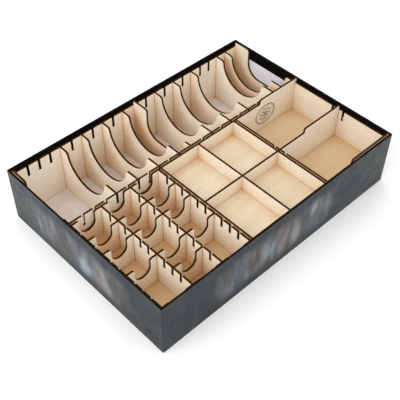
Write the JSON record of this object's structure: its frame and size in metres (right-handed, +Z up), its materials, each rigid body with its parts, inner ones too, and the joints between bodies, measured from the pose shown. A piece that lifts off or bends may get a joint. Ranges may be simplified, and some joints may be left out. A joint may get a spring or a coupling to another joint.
{
  "type": "board game box with plywood organiser",
  "caption": "Open rectangular game box with a plywood organiser: slotted card tray, token lanes with scooped dividers, shallow compartment tray and stepped deep tray, on plain lower bins.",
  "frame": {"origin": "centre of the box's underside", "axes": "+X along the long side, +Y from the token trays towards the card tray, +Z up out of the open top"},
  "size_m": [0.419, 0.298, 0.0876],
  "materials": {
    "birch_plywood": "bare laser-cut birch plywood, 3 mm, with dark burnt edges",
    "greyboard": "plain grey chipboard, covered by paper",
    "printed_wrap": "dark slate paper with a fine linen emboss, satin",
    "lining_paper": "pale lavender-grey uncoated paper"
  },
  "bodies": {
    "box": {"box_bottom_board": "greyboard", "box_wall_boards": "greyboard", "box_wrap": "printed_wrap", "box_base_paper": "printed_wrap", "box_liner": "lining_paper"},
    "card_tray": {"card_tray_front_wall": "birch_plywood", "card_tray_back_wall": "birch_plywood", "card_tray_left_wall": "birch_plywood", "card_tray_centre_wall": "birch_plywood", "card_tray_right_wall": "birch_plywood"},
    "card_divider_1": {"card_divider_1": "birch_plywood"},
    "card_divider_2": {"card_divider_2": "birch_plywood"},
    "card_divider_3": {"card_divider_3": "birch_plywood"},
    "card_divider_4": {"card_divider_4": "birch_plywood"},
    "card_divider_5": {"card_divider_5": "birch_plywood"},
    "card_divider_6": {"card_divider_6": "birch_plywood"},
    "card_divider_7": {"card_divider_7": "birch_plywood"},
    "card_divider_8": {"card_divider_8": "birch_plywood"},
    "card_divider_9": {"card_divider_9": "birch_plywood"},
    "left_bin": {"left_bin_floor": "birch_plywood", "left_bin_walls": "birch_plywood"},
    "token_tray": {"token_tray_floor": "birch_plywood", "token_tray_front_wall": "birch_plywood", "token_tray_back_wall": "birch_plywood", "token_tray_left_wall": "birch_plywood", "token_tray_right_wall": "birch_plywood", "token_tray_lane_wall_1": "birch_plywood", "token_tray_lane_wall_2": "birch_plywood"},
    "token_divider_left_1": {"token_divider_left_1": "birch_plywood"},
    "token_divider_left_2": {"token_divider_left_2": "birch_plywood"},
    "token_divider_left_3": {"token_divider_left_3": "birch_plywood"},
    "token_divider_middle_1": {"token_divider_middle_1": "birch_plywood"},
    "token_divider_middle_2": {"token_divider_middle_2": "birch_plywood"},
    "token_divider_middle_3": {"token_divider_middle_3": "birch_plywood"},
    "token_divider_middle_4": {"token_divider_middle_4": "birch_plywood"},
    "token_divider_right_1": {"token_divider_right_1": "birch_plywood"},
    "token_divider_right_2": {"token_divider_right_2": "birch_plywood"},
    "token_divider_right_3": {"token_divider_right_3": "birch_plywood"},
    "middle_bin": {"middle_bin_floor": "birch_plywood", "middle_bin_walls": "birch_plywood"},
    "lower_shallow_tray": {"lower_shallow_tray_floor": "birch_plywood", "lower_shallow_tray_walls": "birch_plywood", "lower_shallow_tray_cross_walls": "birch_plywood"},
    "shallow_tray": {"shallow_tray_floor": "birch_plywood", "shallow_tray_front_wall": "birch_plywood", "shallow_tray_back_wall": "birch_plywood", "shallow_tray_left_wall": "birch_plywood", "shallow_tray_right_wall": "birch_plywood", "shallow_tray_spine_wall": "birch_plywood", "shallow_tray_cross_wall": "birch_plywood"},
    "right_bin": {"right_bin_floor": "birch_plywood", "right_bin_walls": "birch_plywood"},
    "right_tray": {"right_tray_floor": "birch_plywood", "right_tray_front_wall": "birch_plywood", "right_tray_back_wall": "birch_plywood", "right_tray_left_wall": "birch_plywood", "right_tray_right_wall": "birch_plywood"},
    "right_tray_divider": {"right_tray_divider": "birch_plywood"}
  },
  "joints": [
    {"name": "card_tray_lift", "type": "slide", "parent": "box", "child": "card_tray", "axis": [0, 0, 1], "range_m": [0, 0.095]},
    {"name": "card_divider_1_lift", "type": "slide", "parent": "card_tray", "child": "card_divider_1", "axis": [0, 0, 1], "range_m": [0, 0.09]},
    {"name": "card_divider_2_lift", "type": "slide", "parent": "card_tray", "child": "card_divider_2", "axis": [0, 0, 1], "range_m": [0, 0.09]},
    {"name": "card_divider_3_lift", "type": "slide", "parent": "card_tray", "child": "card_divider_3", "axis": [0, 0, 1], "range_m": [0, 0.09]},
    {"name": "card_divider_4_lift", "type": "slide", "parent": "card_tray", "child": "card_divider_4", "axis": [0, 0, 1], "range_m": [0, 0.09]},
    {"name": "card_divider_5_lift", "type": "slide", "parent": "card_tray", "child": "card_divider_5", "axis": [0, 0, 1], "range_m": [0, 0.09]},
    {"name": "card_divider_6_lift", "type": "slide", "parent": "card_tray", "child": "card_divider_6", "axis": [0, 0, 1], "range_m": [0, 0.09]},
    {"name": "card_divider_7_lift", "type": "slide", "parent": "card_tray", "child": "card_divider_7", "axis": [0, 0, 1], "range_m": [0, 0.09]},
    {"name": "card_divider_8_lift", "type": "slide", "parent": "card_tray", "child": "card_divider_8", "axis": [0, 0, 1], "range_m": [0, 0.09]},
    {"name": "card_divider_9_lift", "type": "slide", "parent": "card_tray", "child": "card_divider_9", "axis": [0, 0, 1], "range_m": [0, 0.09]},
    {"name": "left_bin_lift", "type": "slide", "parent": "box", "child": "left_bin", "axis": [0, 0, 1], "range_m": [0, 0.095]},
    {"name": "token_tray_lift", "type": "slide", "parent": "left_bin", "child": "token_tray", "axis": [0, 0, 1], "range_m": [0, 0.06]},
    {"name": "token_divider_left_1_lift", "type": "slide", "parent": "token_tray", "child": "token_divider_left_1", "axis": [0, 0, 1], "range_m": [0, 0.05]},
    {"name": "token_divider_left_2_lift", "type": "slide", "parent": "token_tray", "child": "token_divider_left_2", "axis": [0, 0, 1], "range_m": [0, 0.05]},
    {"name": "token_divider_left_3_lift", "type": "slide", "parent": "token_tray", "child": "token_divider_left_3", "axis": [0, 0, 1], "range_m": [0, 0.05]},
    {"name": "token_divider_middle_1_lift", "type": "slide", "parent": "token_tray", "child": "token_divider_middle_1", "axis": [0, 0, 1], "range_m": [0, 0.05]},
    {"name": "token_divider_middle_2_lift", "type": "slide", "parent": "token_tray", "child": "token_divider_middle_2", "axis": [0, 0, 1], "range_m": [0, 0.05]},
    {"name": "token_divider_middle_3_lift", "type": "slide", "parent": "token_tray", "child": "token_divider_middle_3", "axis": [0, 0, 1], "range_m": [0, 0.05]},
    {"name": "token_divider_middle_4_lift", "type": "slide", "parent": "token_tray", "child": "token_divider_middle_4", "axis": [0, 0, 1], "range_m": [0, 0.05]},
    {"name": "token_divider_right_1_lift", "type": "slide", "parent": "token_tray", "child": "token_divider_right_1", "axis": [0, 0, 1], "range_m": [0, 0.05]},
    {"name": "token_divider_right_2_lift", "type": "slide", "parent": "token_tray", "child": "token_divider_right_2", "axis": [0, 0, 1], "range_m": [0, 0.05]},
    {"name": "token_divider_right_3_lift", "type": "slide", "parent": "token_tray", "child": "token_divider_right_3", "axis": [0, 0, 1], "range_m": [0, 0.05]},
    {"name": "middle_bin_lift", "type": "slide", "parent": "box", "child": "middle_bin", "axis": [0, 0, 1], "range_m": [0, 0.095]},
    {"name": "lower_shallow_tray_lift", "type": "slide", "parent": "middle_bin", "child": "lower_shallow_tray", "axis": [0, 0, 1], "range_m": [0, 0.06]},
    {"name": "shallow_tray_lift", "type": "slide", "parent": "lower_shallow_tray", "child": "shallow_tray", "axis": [0, 0, 1], "range_m": [0, 0.04]},
    {"name": "right_bin_lift", "type": "slide", "parent": "box", "child": "right_bin", "axis": [0, 0, 1], "range_m": [0, 0.095]},
    {"name": "right_tray_lift", "type": "slide", "parent": "right_bin", "child": "right_tray", "axis": [0, 0, 1], "range_m": [0, 0.06]},
    {"name": "right_tray_divider_lift", "type": "slide", "parent": "right_tray", "child": "right_tray_divider", "axis": [0, 0, 1], "range_m": [0, 0.055]}
  ]
}
